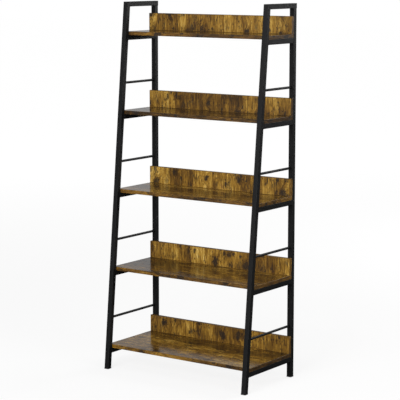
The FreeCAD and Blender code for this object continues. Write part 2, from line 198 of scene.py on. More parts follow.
def ramp(tree, value, stops):
    """Colour ramp from a list of positions and colours."""
    node = wire(tree, "ShaderNodeValToRGB", {"Fac": value})
    band = node.color_ramp
    while len(band.elements) < len(stops):
        band.elements.new(1.0)
    for element, (position, colour) in zip(band.elements, stops):
        element.position = position
        element.color = (*colour, 1.0)
    return node.outputs["Color"]


def new_group(name, inputs, outputs):
    """Empty node group with named sockets: returns the group, its input and output nodes."""
    group = bpy.data.node_groups.new(name, "ShaderNodeTree")
    for label, kind, value in inputs:
        socket = group.interface.new_socket(label, in_out="INPUT", socket_type=kind)
        if value is not None:
            socket.default_value = value
    for label, kind in outputs:
        group.interface.new_socket(label, in_out="OUTPUT", socket_type=kind)
    return group, group.nodes.new("NodeGroupInput"), group.nodes.new("NodeGroupOutput")


def use_group(tree, group, inputs):
    """Place a node group and fill its inputs."""
    node = tree.nodes.new("ShaderNodeGroup")
    node.node_tree = group
    fill(tree, node, inputs)
    return node


def new_material(name):
    """Material with an empty graph but for its shader and output."""
    material = bpy.data.materials.new(name)
    material.use_nodes = True
    tree = material.node_tree
    tree.nodes.clear()
    shader = tree.nodes.new("ShaderNodeBsdfPrincipled")
    output = tree.nodes.new("ShaderNodeOutputMaterial")
    tree.links.new(shader.outputs[0], output.inputs["Surface"])
    return material, tree, shader


def connect(tree, shader, colour=None, roughness=None, height=None, depth=0.0001, strength=1.0):
    """Plug colour, roughness and a bump height into a shader."""
    if colour is not None:
        tree.links.new(colour, shader.inputs["Base Color"])
    if roughness is not None:
        tree.links.new(roughness, shader.inputs["Roughness"])
    if height is not None:
        bump = wire(tree, "ShaderNodeBump", {"Height": height, "Distance": depth,
                                             "Strength": strength})
        tree.links.new(bump.outputs[0], shader.inputs["Normal"])


# %% [markdown]
# ## The effects that several finishes share
# Fine speckle gives powder coat and moulded plastic their orange peel.  Edge wear reads an
# attribute, `edge`, that the modelling writes: 1 on the middle of a rounded corner and on
# the flat of a bolt's crown, 0 elsewhere.  A noise breaks it up into faint patches.

# %% Speckle and edge wear groups
def build_speckle():
    """Fine speckle at two sizes, for coated and moulded surfaces."""
    group, source, sink = new_group(
        "fine_speckle",
        [("Position", "NodeSocketVector", None), ("Grain", "NodeSocketFloat", 700.0)],
        [("Height", "NodeSocketFloat"), ("Cloud", "NodeSocketFloat")])
    position = source.outputs["Position"]
    grain = source.outputs["Grain"]
    fine = noise(group, position, grain, detail=2.0, roughness=0.6)
    broad = noise(group, position, times(group, grain, 0.22), detail=2.0)
    height = calc(group, "MULTIPLY_ADD", fine, 0.7, times(group, broad, 0.5))
    cloud = noise(group, position, 14.0, detail=4.0, roughness=0.6)
    group.links.new(height, sink.inputs["Height"])
    group.links.new(cloud, sink.inputs["Cloud"])
    return group


def build_edge_wear():
    """Mask of rubbed corners, from the edge attribute broken up by noise."""
    group, source, sink = new_group(
        "edge_wear",
        [("Position", "NodeSocketVector", None), ("Edge", "NodeSocketFloat", 0.0),
         ("Amount", "NodeSocketFloat", 0.5), ("Patches", "NodeSocketFloat", 60.0)],
        [("Mask", "NodeSocketFloat")])
    patches = noise(group, source.outputs["Position"], source.outputs["Patches"], detail=5.0,
                    roughness=0.65)
    broken = remap(group, patches, 0.42, 0.72, smooth=True)
    worn = times(group, source.outputs["Edge"], broken)
    mask = calc(group, "MULTIPLY", worn, source.outputs["Amount"], clamp=True)
    group.links.new(mask, sink.inputs["Mask"])
    return group


SPECKLE = build_speckle()
EDGE_WEAR = build_edge_wear()


def object_position(tree):
    """Object coordinates, which equal the shelf's own coordinates for every piece."""
    return wire(tree, "ShaderNodeTexCoord").outputs["Object"]


def edge_attribute(tree):
    """The edge attribute written by the modelling."""
    return wire(tree, "ShaderNodeAttribute", attribute_name="edge").outputs["Fac"]


print("groups", [group.name for group in bpy.data.node_groups])

# %% [markdown]
# ## Black powder coat
# Powder is sprayed dry and melted on, so it flows into a satin skin with a faint orange
# peel, thinner and a touch glossier on the corners.  The base colour is nearly black, and
# what the eye reads as grey is the soft light in the coat.

# %% Powder coat material
def build_powder_coat():
    """Satin black powder coat on steel."""
    material, tree, shader = new_material("black_powder_coat")
    position = object_position(tree)
    speckle = use_group(tree, SPECKLE, {"Position": position, "Grain": 620.0})
    wear = use_group(tree, EDGE_WEAR, {"Position": position, "Edge": edge_attribute(tree),
                                       "Amount": 0.55, "Patches": 45.0})
    coat = ramp(tree, speckle.outputs["Cloud"], [
        (0.30, (0.0032, 0.0034, 0.0037)),
        (0.70, (0.0056, 0.0059, 0.0064))])
    colour = blend(tree, wear.outputs["Mask"], coat, (0.026, 0.026, 0.027, 1.0))
    gloss = remap(tree, speckle.outputs["Cloud"], 0.3, 0.7, 0.52, 0.62)
    roughness = calc(tree, "SUBTRACT", gloss, times(tree, wear.outputs["Mask"], 0.12))
    connect(tree, shader, colour, roughness, speckle.outputs["Height"], depth=0.00006,
            strength=0.55)
    shader.inputs["Specular IOR Level"].default_value = 0.19
    return material


POWDER_COAT = build_powder_coat()

# %% [markdown]
# ## Rustic brown laminate
# The boards are particle board pressed with a printed paper that copies old sawn timber:
# golden brown staves, streaks of many widths, knots with dark hearts and rings, short
# cracks, worm holes, and grey and red stains.  The pattern is drawn on a plane whose first
# direction is across the grain and whose second is along it, so one group serves the
# shelves, where the grain runs lengthwise, and the back boards, where it stands upright.
# Each part of the pattern is a small function, which adds its nodes and returns a mask.

# %% Parts of the laminate pattern
WOOD_TONES = [
    (0.00, (0.015, 0.009, 0.0035)),
    (0.20, (0.046, 0.022, 0.0040)),
    (0.38, (0.112, 0.052, 0.0062)),
    (0.54, (0.215, 0.109, 0.0120)),
    (0.70, (0.350, 0.194, 0.0270)),
    (0.86, (0.510, 0.315, 0.0640)),
    (1.00, (0.700, 0.490, 0.1500)),
]
KNOT_HEART = (0.012, 0.0075, 0.0045, 1.0)
DARK_BROWN = (0.042, 0.023, 0.0065, 1.0)
GREY_STAIN = (0.052, 0.046, 0.0240, 1.0)
RED_STAIN = (0.125, 0.040, 0.0160, 1.0)


def spots(group, plane, across, along, share):
    """Scattered centres: distance to the nearest one, in cells, and 1 where it counts."""
    cells = wire(group, "ShaderNodeTexVoronoi",
                 {"Vector": stretch(group, plane, across, along), "Scale": 1.0,
                  "Randomness": 0.8},
                 voronoi_dimensions="2D", feature="F1")
    draw = wire(group, "ShaderNodeSeparateColor", {0: cells.outputs["Color"]})
    counts = calc(group, "LESS_THAN", draw.outputs[0], share)
    return cells.outputs["Distance"], counts, draw.outputs[1]


def patches(group, plane, across, along, low, high, shift):
    """Soft patches of noise, moved by shift so that two kinds don't coincide."""
    moved = add_vectors(group, plane, (shift, shift, 0.0))
    cloud = noise(group, stretch(group, moved, across, along), 1.0, detail=5.0, roughness=0.66)
    return remap(group, cloud, low, high, smooth=True)


def centred(group, value, amount):
    """A value between 0 and 1, moved to sit round 0 and scaled."""
    return times(group, calc(group, "SUBTRACT", value, 0.5), amount)


def total(group, values):
    """Sum of several values."""
    result = values[0]
    for value in values[1:]:
        result = calc(group, "ADD", result, value)
    return result


def knots(group, plane):
    """Knots: hearts, halos round them, and growth rings."""
    distance, counts, size = spots(group, plane, 12.5, 9.5, 0.50)
    wobble = noise(group, stretch(group, plane, 75.0, 40.0), 1.0, detail=4.0, roughness=0.6)
    reach = total(group, [distance, centred(group, wobble, 0.34), centred(group, size, 0.14)])
    decay = remap(group, noise(group, stretch(group, plane, 330.0, 150.0), 1.0), 0.38, 0.48)
    heart = times(group, remap(group, reach, 0.15, 0.09, smooth=True), counts)
    heart = times(group, heart, calc(group, "MULTIPLY_ADD", decay, 0.6, 0.4))
    halo = times(group, remap(group, reach, 0.34, 0.12, smooth=True), counts)
    rings = calc(group, "SINE", times(group, reach, 110.0))
    return heart, halo, times(group, rings, halo)


def speckled(group, plane, across, along, share, radius, clusters):
    """Small dark spots that come in clusters."""
    distance, counts, size = spots(group, plane, across, along, share)
    ragged = noise(group, stretch(group, plane, across * 5.0, along * 3.0), 1.0, detail=2.0)
    reach = total(group, [distance, centred(group, ragged, 0.46), centred(group, size, 0.12)])
    spot = times(group, remap(group, reach, radius, radius * 0.6, smooth=True), counts)
    return times(group, spot, clusters)


def marks(group, plane, grain):
    """Cracks along the grain, pits and small worm holes."""
    thread = noise(group, stretch(group, grain, 34.0, 6.0), 1.0, detail=3.0, roughness=0.6)
    nearness = calc(group, "ABSOLUTE", calc(group, "SUBTRACT", thread, 0.5))
    crack = times(group, remap(group, nearness, 0.024, 0.008),
                  patches(group, plane, 14.0, 12.0, 0.51, 0.56, 3.1))
    clusters = patches(group, plane, 11.0, 11.0, 0.47, 0.53, 7.7)
    pit = speckled(group, plane, 40.0, 24.0, 0.34, 0.25, clusters)
    worm = speckled(group, plane, 120.0, 60.0, 0.35, 0.26, clusters)
    return crack, calc(group, "MAXIMUM", pit, worm)


# %% Laminate group
def build_laminate():
    """Printed rustic timber: colour, relief and a mask of what is less glossy."""
    group, source, sink = new_group(
        "rustic_laminate",
        [("Plane", "NodeSocketVector", None), ("Contrast", "NodeSocketFloat", 1.0),
         ("Level", "NodeSocketFloat", 0.5), ("Stains", "NodeSocketFloat", 0.6)],
        [("Color", "NodeSocketColor"), ("Height", "NodeSocketFloat"),
         ("Gloss", "NodeSocketFloat")])
    plane = source.outputs["Plane"]
    stains = source.outputs["Stains"]
    heart, halo, rings = knots(group, plane)

    # The grain wanders a little, and bends round the knots.
    wander = noise(group, stretch(group, plane, 8.0, 5.0), 1.0, detail=2.0)
    bend = total(group, [centred(group, wander, 0.016), times(group, halo, 0.010)])
    sideways = wire(group, "ShaderNodeCombineXYZ", {0: bend}).outputs[0]
    grain = add_vectors(group, plane, sideways)
    crack, hole = marks(group, plane, grain)

    # Staves of different browns, then streaks from broad to fine.
    staves = wire(group, "ShaderNodeTexVoronoi",
                  {"Vector": stretch(group, grain, 17.0, 2.2), "Scale": 1.0,
                   "Smoothness": 0.12, "Randomness": 1.0},
                  voronoi_dimensions="2D", feature="SMOOTH_F1")
    stave = wire(group, "ShaderNodeSeparateColor", {0: staves.outputs["Color"]}).outputs[1]
    sweep = noise(group, stretch(group, grain, 7.0, 3.0), 1.0, detail=2.0)
    broad = noise(group, stretch(group, grain, 30.0, 7.0), 1.0, detail=3.0, roughness=0.6)
    medium = noise(group, stretch(group, grain, 135.0, 14.0), 1.0, detail=4.0, roughness=0.7)
    fine = noise(group, stretch(group, grain, 430.0, 34.0), 1.0, detail=3.0, roughness=0.65)
    swing = total(group, [centred(group, stave, 0.34), centred(group, sweep, 0.50),
                          centred(group, broad, 0.60),
                          centred(group, medium, 1.25), centred(group, fine, 0.85),
                          times(group, rings, 0.07),
                          times(group, halo, -0.10)])
    tone = calc(group, "MULTIPLY_ADD", swing, source.outputs["Contrast"],
                source.outputs["Level"])
    colour = ramp(group, tone, WOOD_TONES)

    # Stains lie over the tones, and the darkest marks lie over the stains.
    layers = [
        (patches(group, grain, 26.0, 15.0, 0.54, 0.68, 1.3), 0.85, DARK_BROWN),
        (patches(group, grain, 34.0, 11.0, 0.60, 0.69, 5.9), 0.85, GREY_STAIN),
        (patches(group, grain, 30.0, 20.0, 0.62, 0.70, 9.4), 0.65, RED_STAIN),
    ]
    for mask, share, tint in layers:
        strength = times(group, times(group, mask, share), stains)
        colour = blend(group, strength, colour, tint)
    dark = calc(group, "MAXIMUM", times(group, heart, 0.92),
                calc(group, "MAXIMUM", times(group, crack, 0.80),
                     times(group, hole, 0.85)))
    colour = blend(group, dark, colour, KNOT_HEART)
    pores = remap(group, noise(group, stretch(group, grain, 1700.0, 90.0), 1.0, detail=1.0),
                  0.58, 0.72)
    colour = blend(group, times(group, pores, 0.40), colour, DARK_BROWN)

    relief = calc(group, "SUBTRACT", times(group, fine, 0.5),
                  calc(group, "MULTIPLY_ADD", dark, 0.6, times(group, pores, 0.4)))
    gloss = calc(group, "MULTIPLY_ADD", dark, 0.5, medium, clamp=True)
    group.links.new(colour, sink.inputs["Color"])
    group.links.new(relief, sink.inputs["Height"])
    group.links.new(gloss, sink.inputs["Gloss"])
    return group


LAMINATE = build_laminate()

# %% [markdown]
# ## Shelf, back board and edge band finishes
# Each board carries an attribute, `shift`, that moves the print, so no two boards show the
# same knots.  The edges are closed with a strip of the same print, cut separately: it is
# darker, and its grain follows the edge.  Shelf tops have a semi-gloss overlay, so they
# mirror the foot of the back board softly at a low angle.

# %% Laminate materials
def grain_plane(tree, across, along):
    """Print plane from the axes that lie across the grain and along it."""
    shift = wire(tree, "ShaderNodeAttribute", attribute_name="shift").outputs["Vector"]
    split = wire(tree, "ShaderNodeSeparateXYZ",
                 {0: add_vectors(tree, object_position(tree), shift)})
    first = total(tree, [split.outputs[axis] for axis in across])
    second = total(tree, [split.outputs[axis] for axis in along])
    return wire(tree, "ShaderNodeCombineXYZ", {0: first, 1: second}).outputs[0]


def build_board_finish(name, across, along, level, contrast, stains, roughness):
    """Laminate in one direction of grain."""
    material, tree, shader = new_material(name)
    # The board's tone shifts the print's level; on the shelves it also carries painted shade.
    tone = wire(tree, "ShaderNodeAttribute", attribute_name="tone").outputs["Fac"]
    printed = use_group(tree, LAMINATE, {
        "Plane": grain_plane(tree, across, along), "Contrast": contrast,
        "Level": calc(tree, "ADD", tone, level), "Stains": stains})
    wear = use_group(tree, EDGE_WEAR, {
        "Position": object_position(tree), "Edge": edge_attribute(tree), "Amount": 0.45,
        "Patches": 70.0})
    colour = blend(tree, wear.outputs["Mask"], printed.outputs["Color"], RUBBED_PAPER)
    gloss = remap(tree, printed.outputs["Gloss"], 0.35, 0.9, roughness, roughness + 0.12)
    connect(tree, shader, colour, gloss, printed.outputs["Height"], depth=0.00008,
            strength=0.5)
    shader.inputs["Specular IOR Level"].default_value = 0.30
    return material


RUBBED_PAPER = (0.34, 0.22, 0.09, 1.0)
SHELF_FACE = build_board_finish("shelf_laminate", ("Y", "Z"), ("X",), 0.43, 1.30, 0.75, 0.10)
SHELF_BAND = build_board_finish("shelf_edge_band", ("Z",), ("X", "Y"), 0.33, 0.70, 0.50, 0.38)
BACK_FACE = build_board_finish("back_board_laminate", ("X",), ("Z", "Y"), 0.57, 1.0, 0.80, 0.36)
BACK_BAND = build_board_finish("back_board_edge_band", ("Y",), ("X", "Z"), 0.33, 0.70, 0.50,
                               0.40)

# %% [markdown]
# ## Plastic, bolt steel and zinc
# Caps and plugs are injection moulded: deep black, matt, with a fine spark-eroded grain.
# The bolts are blackened steel with turning marks round their heads, and the insert nuts
# inside the boards are zinc plated, with the small bright crystals that zinc grows.

# %% Small part materials
def build_plastic():
    """Matt black moulded plastic."""
    material, tree, shader = new_material("black_plastic")
    position = object_position(tree)
    speckle = use_group(tree, SPECKLE, {"Position": position, "Grain": 1500.0})
    wear = use_group(tree, EDGE_WEAR, {"Position": position, "Edge": edge_attribute(tree),
                                       "Amount": 0.5, "Patches": 150.0})
    base = ramp(tree, speckle.outputs["Cloud"], [
        (0.3, (0.0085, 0.0085, 0.009)),
        (0.7, (0.0135, 0.0135, 0.014))])
    colour = blend(tree, wear.outputs["Mask"], base, (0.05, 0.05, 0.05, 1.0))
    roughness = remap(tree, speckle.outputs["Cloud"], 0.3, 0.7, 0.52, 0.64)
    connect(tree, shader, colour, roughness, speckle.outputs["Height"], depth=0.00004,
            strength=0.6)
    return material


def build_bolt_steel():
    """Blackened steel with faint scratches and a rubbed crown."""
    material, tree, shader = new_material("black_oxide_steel")
    position = object_position(tree)
    scratches = noise(tree, stretch(tree, position, 260.0, 3000.0, 2600.0), 1.0, detail=3.0)
    wear = use_group(tree, EDGE_WEAR, {"Position": position, "Edge": edge_attribute(tree),
                                       "Amount": 0.8, "Patches": 400.0})
    base = ramp(tree, scratches, [
        (0.35, (0.018, 0.018, 0.019)),
        (0.70, (0.045, 0.044, 0.043))])
    colour = blend(tree, wear.outputs["Mask"], base, (0.24, 0.23, 0.21, 1.0))
    roughness = remap(tree, scratches, 0.3, 0.7, 0.30, 0.46)
    connect(tree, shader, colour, roughness, scratches, depth=0.00002, strength=0.5)
    shader.inputs["Metallic"].default_value = 0.85
    return material


def build_zinc():
    """Zinc plate with small crystals."""
    material, tree, shader = new_material("zinc_plate")
    crystals = wire(tree, "ShaderNodeTexVoronoi", {"Vector": object_position(tree),
                                                   "Scale": 900.0}, feature="F1")
    grey = wire(tree, "ShaderNodeSeparateColor", {0: crystals.outputs["Color"]}).outputs[0]
    colour = ramp(tree, grey, [(0.0, (0.42, 0.42, 0.40)), (1.0, (0.68, 0.67, 0.62))])
    roughness = remap(tree, grey, 0.0, 1.0, 0.28, 0.45)
    connect(tree, shader, colour, roughness, crystals.outputs["Distance"], depth=0.00002,
            strength=0.4)
    shader.inputs["Metallic"].default_value = 1.0
    return material


PLASTIC = build_plastic()
BOLT_STEEL = build_bolt_steel()
ZINC = build_zinc()
print("materials", len(bpy.data.materials))

# %% [markdown]
# ## Rounded corners and the edge attribute
# A bevel rounds chosen edges.  Its shoulders are the lines, parallel to a chosen edge, where
# a rounded face meets a flat one.  Vertices of the rounded faces that are on no shoulder
# sit on the middle of the corner, so they get 1 in the `edge` attribute, the rest keep 0.

# %% Round edges and mark them
SAME_WAY = 0.999


def round_edges(shape, edges, radius, segments):
    """Round edges of a bmesh and mark the middle of each rounded corner."""
    layer = shape.verts.layers.float.get("edge") or shape.verts.layers.float.new("edge")
    runs = [(edge.verts[1].co - edge.verts[0].co).normalized() for edge in edges]
    made = bmesh.ops.bevel(shape, geom=edges, offset=radius, offset_type="OFFSET",
                           segments=segments, profile=0.5, affect="EDGES", material=-1,
                           clamp_overlap=True)
    rounded = set(made["faces"])
    for vert in {vert for face in rounded for vert in face.verts}:
        shoulders = [edge for edge in vert.link_edges
                     if len({face in rounded for face in edge.link_faces}) == 2
                     and any(along_direction(edge, run) for run in runs)]
        if not shoulders:
            vert[layer] = 1.0


def along_direction(edge, direction):
    """True if an edge runs along a direction."""
    run = (edge.verts[1].co - edge.verts[0].co).normalized()
    return abs(run.dot(direction)) > SAME_WAY


# %% [markdown]
# ## Square tube
# A tube could be a cube that is scaled, but the posts lean and have level or mitred ends.
# So each starts as its side outline, four corners in the upright plane, which is extruded
# across the width of the tube.  The long edges get the tube's own corner radius, and a
# hair of a bevel at the ends leaves the fine line that shows where two tubes meet.  The
# bore is a second, narrower prism that a boolean cuts away, with the round holes that
# let the bolts through.

# %% Prisms and holes
TUBE_RADIUS = 1.2 * MM
TUBE_WALL = 1.2 * MM
END_BEVEL = 0.25 * MM
CORNER_SEGMENTS = 5
HOLE_SEGMENTS = 32


def extrude_verts(shape, face, move):
    """Extrude a face by a vector and return the vertices of its moved copy."""
    made = bmesh.ops.extrude_face_region(shape, geom=[face])
    verts = [item for item in made["geom"] if isinstance(item, bmesh.types.BMVert)]
    bmesh.ops.translate(shape, verts=verts, vec=move)
    return verts


def side_prism(shape, outline, low_x, high_x):
    """Add a prism with an outline of Y and Z, from low_x to high_x."""
    verts = [shape.verts.new((low_x, y, z)) for y, z in outline]
    extrude_verts(shape, shape.faces.new(verts), (high_x - low_x, 0, 0))


def cross_drill(shape, centre, radius, length, turn):
    """Add a cylinder centred on a point, upright before its turn."""
    place = Matrix.Translation(centre) @ turn
    bmesh.ops.create_cone(shape, cap_ends=True, segments=HOLE_SEGMENTS, radius1=radius,
                          radius2=radius, depth=length, matrix=place)


def subtract(shape, cutter):
    """Cut one bmesh out of another with an exact boolean."""
    pair = []
    for name, source in (("body", shape), ("cutter", cutter)):
        bmesh.ops.recalc_face_normals(source, faces=source.faces)
        mesh = bpy.data.meshes.new(name)
        source.to_mesh(mesh)
        source.free()
        item = bpy.data.objects.new(name, mesh)
        bpy.context.scene.collection.objects.link(item)
        pair.append(item)
    body, tool = pair
    boolean = body.modifiers.new("cut", "BOOLEAN")
    boolean.operation = "DIFFERENCE"
    boolean.solver = "EXACT"
    boolean.use_self = True
    boolean.object = tool
    result = bmesh.new()
    result.from_object(body, bpy.context.evaluated_depsgraph_get())
    for item in pair:
        mesh = item.data
        bpy.data.objects.remove(item)
        bpy.data.meshes.remove(mesh)
    return result


# %% Build a square tube
def square_tube(name, outline, bore, drills=()):
    """Tube from its side outline, whose first edge runs along the tube, and its bore."""
    low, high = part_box(name)
    shape = bmesh.new()
    side_prism(shape, outline, low.x, high.x)
    lengthwise = Vector((0, outline[1][0] - outline[0][0], outline[1][1] - outline[0][1]))
    lengthwise.normalize()
    long_edges = [edge for edge in shape.edges if along_direction(edge, lengthwise)]
    round_edges(shape, long_edges, TUBE_RADIUS, CORNER_SEGMENTS)
    end_edges = [edge for edge in shape.edges
                 if not along_direction(edge, lengthwise)
                 and max(len(face.verts) for face in edge.link_faces) > 4]
    bmesh.ops.bevel(shape, geom=end_edges, offset=END_BEVEL, offset_type="OFFSET", segments=1,
                    profile=0.5, affect="EDGES", material=-1, clamp_overlap=True)
    cutter = bmesh.new()
    side_prism(cutter, bore, low.x + TUBE_WALL, high.x - TUBE_WALL)
    for centre, radius, length, turn in drills:
        cross_drill(cutter, centre, radius, length, turn)
    shape = subtract(shape, cutter)
    return finish_piece(name + "_tube", shape, [POWDER_COAT], [name])


def level_bore(low, high):
    """Bore of a tube that runs along Y, long enough to leave both ends open."""
    return [(low.y - TUBE, high.z - TUBE_WALL), (high.y + TUBE, high.z - TUBE_WALL),
            (high.y + TUBE, low.z + TUBE_WALL), (low.y - TUBE, low.z + TUBE_WALL)]


# %% [markdown]
# ## Bolt holes
# The bolts are nodes of separate solids, and the centres of those solids say where the
# holes go.  A shelf bolt's head sits inside the rail, against its upper wall, so the lower
# wall has a larger hole that the head and its key pass through.  A back board's bolt goes
# right through the rear post.

# %% Find where the fasteners sit
BOLT_HOLE_RADIUS = 3.3 * MM
DRIVER_HOLE_RADIUS = 6.0 * MM
UPRIGHT = Matrix.Identity(4)
FORWARDS = Matrix.Rotation(math.radians(90), 4, "X")


def solid_boxes(node_name):
    """Boxes of the separate solids in a node."""
    shape = bmesh.new()
    shape.from_mesh(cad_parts[node_name].data)
    bmesh.ops.remove_doubles(shape, verts=shape.verts, dist=0.001 * MM)
    waiting = set(shape.verts)
    boxes = []
    while waiting:
        reached = [waiting.pop()]
        members = []
        while reached:
            vert = reached.pop()
            members.append(vert.co.copy())
            for edge in vert.link_edges:
                other = edge.other_vert(vert)
                if other in waiting:
                    waiting.remove(other)
                    reached.append(other)
        low = Vector([min(point[axis] for point in members) for axis in range(3)])
        high = Vector([max(point[axis] for point in members) for axis in range(3)])
        boxes.append((low, high))
    shape.free()
    return sorted(boxes, key=lambda box: tuple(round(value, 4) for value in box[0]))


SHELF_BOLT_BOXES = solid_boxes("shelf_bolts")
BACK_BOLT_BOXES = solid_boxes("back_board_bolts")


def rail_drills(low, high):
    """Driver and bolt holes of a shelf rail, for the bolts inside its box."""
    drills = []
    for bolt_low, bolt_high in SHELF_BOLT_BOXES:
        centre = (bolt_low + bolt_high) / 2
        if low.x < centre.x < high.x and low.z < bolt_low.z < high.z:
            spot = Vector((centre.x, centre.y, low.z))
            drills.append((spot, DRIVER_HOLE_RADIUS, TUBE, UPRIGHT))
            drills.append((spot, BOLT_HOLE_RADIUS, TUBE * 4, UPRIGHT))
    return drills


def post_drills(low, high):
    """Bolt holes through a rear post."""
    middle_y = (low.y + high.y) / 2
    return [(Vector(((bolt_low.x + bolt_high.x) / 2, middle_y, (bolt_low.z + bolt_high.z) / 2)),
             BOLT_HOLE_RADIUS, TUBE * 2, FORWARDS)
            for bolt_low, bolt_high in BACK_BOLT_BOXES if low.x < bolt_low.x < high.x]


print("bolts", len(SHELF_BOLT_BOXES), "under the shelves,", len(BACK_BOLT_BOXES), "behind")


# %% Build the tubes of both side frames
def build_side_tubes(word):
    """Posts, top rail and shelf rails of one side frame."""
    low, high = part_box(word + "_front_post")
    under = rail_low.z
    wall_run = TUBE_WALL / math.cos(LEAN_ANGLE)
    square_tube(word + "_front_post", [
        (post_front(low.z), low.z), (post_front(high.z), high.z),
        (post_back(under), under), (post_back(low.z), low.z)], [
        (post_front(0.0) + wall_run, 0.0), (post_front(high.z) + wall_run, high.z),
        (post_back(high.z) - wall_run, high.z), (post_back(0.0) - wall_run, 0.0)])
    low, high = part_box(word + "_rear_post")
    square_tube(word + "_rear_post", [
        (low.y, low.z), (low.y, high.z), (high.y, high.z), (high.y, low.z)], [
        (low.y + TUBE_WALL, 0.0), (low.y + TUBE_WALL, high.z + TUBE),
        (high.y - TUBE_WALL, high.z + TUBE), (high.y - TUBE_WALL, 0.0)],
        post_drills(low, high))
    low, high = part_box(word + "_top_rail")
    square_tube(word + "_top_rail", [
        (post_front(high.z), high.z), (high.y, high.z),
        (high.y, low.z), (post_back(low.z), low.z)], level_bore(low, high))
    for number in range(1, SHELF_COUNT + 1):
        name = "{}_shelf_rail_{}".format(word, number)
        low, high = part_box(name)
        square_tube(name, [
            (post_back(high.z), high.z), (high.y, high.z),
            (high.y, low.z), (post_back(low.z), low.z)], level_bore(low, high),
            rail_drills(low, high))


for side_word in SIDES:
    build_side_tubes(side_word)

# %% [markdown]
# ## Side rods
# A rod is a short length of round bar.  Its front end is sawn to the lean of the post: the
# front ring of a cylinder is simply sheared along Y by the lean, so it meets the leaning
# face all round.

# %% Build the side rods
ROD_SEGMENTS = 32


def side_rod(name):
    """Round bar between the posts."""
    low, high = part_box(name)
    radius = (high.z - low.z) / 2
    centre = (low + high) / 2
    start = post_back(centre.z)
    length = high.y - start
    turn = Matrix.Rotation(math.radians(-90), 4, "X") @ Matrix.Translation((0, 0, length / 2))
    shape = bmesh.new()
    verts = bmesh.ops.create_cone(shape, cap_ends=True, segments=ROD_SEGMENTS, radius1=radius,
                                  radius2=radius, depth=length, matrix=turn)["verts"]
    for vert in verts:
        if vert.co.y < radius:
            vert.co.y += LEAN * vert.co.z
    bmesh.ops.translate(shape, verts=verts, vec=(centre.x, start, centre.z))
    shape.verts.layers.float.new("edge")
    return finish_piece(name + "_bar", shape, [POWDER_COAT], [name])


for side_word in SIDES:
    for rod_number in range(1, ROD_COUNT + 1):
        side_rod("{}_side_rod_{}".format(side_word, rod_number))
print("rods", len(SIDES) * ROD_COUNT)

# %% [markdown]
# ## Weld beads
# The frames are welded, then coated.  Outer faces are ground flush, so beads stay only
# where a grinder doesn't reach: in the corner under each rail and round both ends of each
# rod.  A bead is a string of small overlapping ripples, which a sine along it gives.

# %% Build the weld beads
BEAD_RADIUS = 1.5 * MM
RING_RADIUS = 1.3 * MM
RIPPLE = 0.14
RIPPLE_LENGTH = 1.9 * MM
BEAD_SIDES = 10
BEAD_STEPS = 36
BEAD_START = 0.5
BEAD_SWELL = 6.0
RING_STEPS = 48
RING_RIPPLES = 15


def straight_bead(shape, low_x, high_x, y, z):
    """Bead along X in a corner, thinner at both ends."""
    length = high_x - low_x
    turn = Matrix.Translation((low_x, y, z)) @ Matrix.Rotation(math.radians(90), 4, "Y")
    ring = bmesh.ops.create_circle(shape, cap_ends=True, segments=BEAD_SIDES,
                                   radius=BEAD_RADIUS * BEAD_START, matrix=turn)["verts"]
    for step in range(1, BEAD_STEPS + 1):
        face = next(face for face in ring[0].link_faces if set(face.verts) == set(ring))
        ring = extrude_verts(shape, face, (length / BEAD_STEPS, 0, 0))
        if step > 1:
            bmesh.ops.delete(shape, geom=[face], context="FACES_ONLY")
        share = step / BEAD_STEPS
        swell = min(1.0, BEAD_START + BEAD_SWELL * min(share, 1.0 - share))
        swell *= 1.0 + RIPPLE * math.sin(2 * math.pi * share * length / RIPPLE_LENGTH)
        for vert in ring:
            spoke = Vector((0, vert.co.y - y, vert.co.z - z)).normalized()
            vert.co.y = y + spoke.y * BEAD_RADIUS * swell
            vert.co.z = z + spoke.z * BEAD_RADIUS * swell


def ring_bead(shape, centre, radius, tilt):
    """Bead round the end of a rod, tilted to the face that the rod meets."""
    others = set(shape.verts)
    profile = Matrix.Translation((radius, 0, 0))
    made = bmesh.ops.create_circle(shape, cap_ends=False, segments=BEAD_SIDES,
                                   radius=RING_RADIUS, matrix=profile)
    edges = list({edge for vert in made["verts"] for edge in vert.link_edges})
    bmesh.ops.spin(shape, geom=made["verts"] + edges, cent=(0, 0, 0), axis=(0, 1, 0),
                   dvec=(0, 0, 0), angle=2 * math.pi, steps=RING_STEPS, use_merge=True,
                   use_duplicate=False)
    verts = [vert for vert in shape.verts if vert not in others]
    for vert in verts:
        around = math.atan2(vert.co.z, vert.co.x)
        core = Vector((math.cos(around), 0, math.sin(around))) * radius
        vert.co = core + (vert.co - core) * (1.0 + RIPPLE * math.sin(RING_RIPPLES * around))
    place = Matrix.Translation(centre) @ Matrix.Rotation(tilt, 4, "X")
    bmesh.ops.transform(shape, matrix=place, verts=verts)


def build_welds(word):
    """All the beads of one side frame as one piece."""
    shape = bmesh.new()
    low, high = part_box(word + "_rear_post")
    inset = TUBE_RADIUS * 0.5
    for name in [word + "_top_rail"] + ["{}_shelf_rail_{}".format(word, number)
                                        for number in range(1, SHELF_COUNT + 1)]:
        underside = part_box(name)[0].z
        straight_bead(shape, low.x + inset, high.x - inset, post_back(underside), underside)
        straight_bead(shape, low.x + inset, high.x - inset, low.y, underside)
    for number in range(1, ROD_COUNT + 1):
        rod_low, rod_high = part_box("{}_side_rod_{}".format(word, number))
        centre = (rod_low + rod_high) / 2
        radius = (rod_high.z - rod_low.z) / 2
        ring_bead(shape, (centre.x, post_back(centre.z), centre.z), radius, -LEAN_ANGLE)
        ring_bead(shape, (centre.x, low.y, centre.z), radius, 0.0)
    shape.verts.layers.float.new("edge")
    return finish_piece(word + "_frame_welds", shape, [POWDER_COAT])


for side_word in SIDES:
    beads = build_welds(side_word)
    print(beads.name, len(beads.data.polygons), "faces")

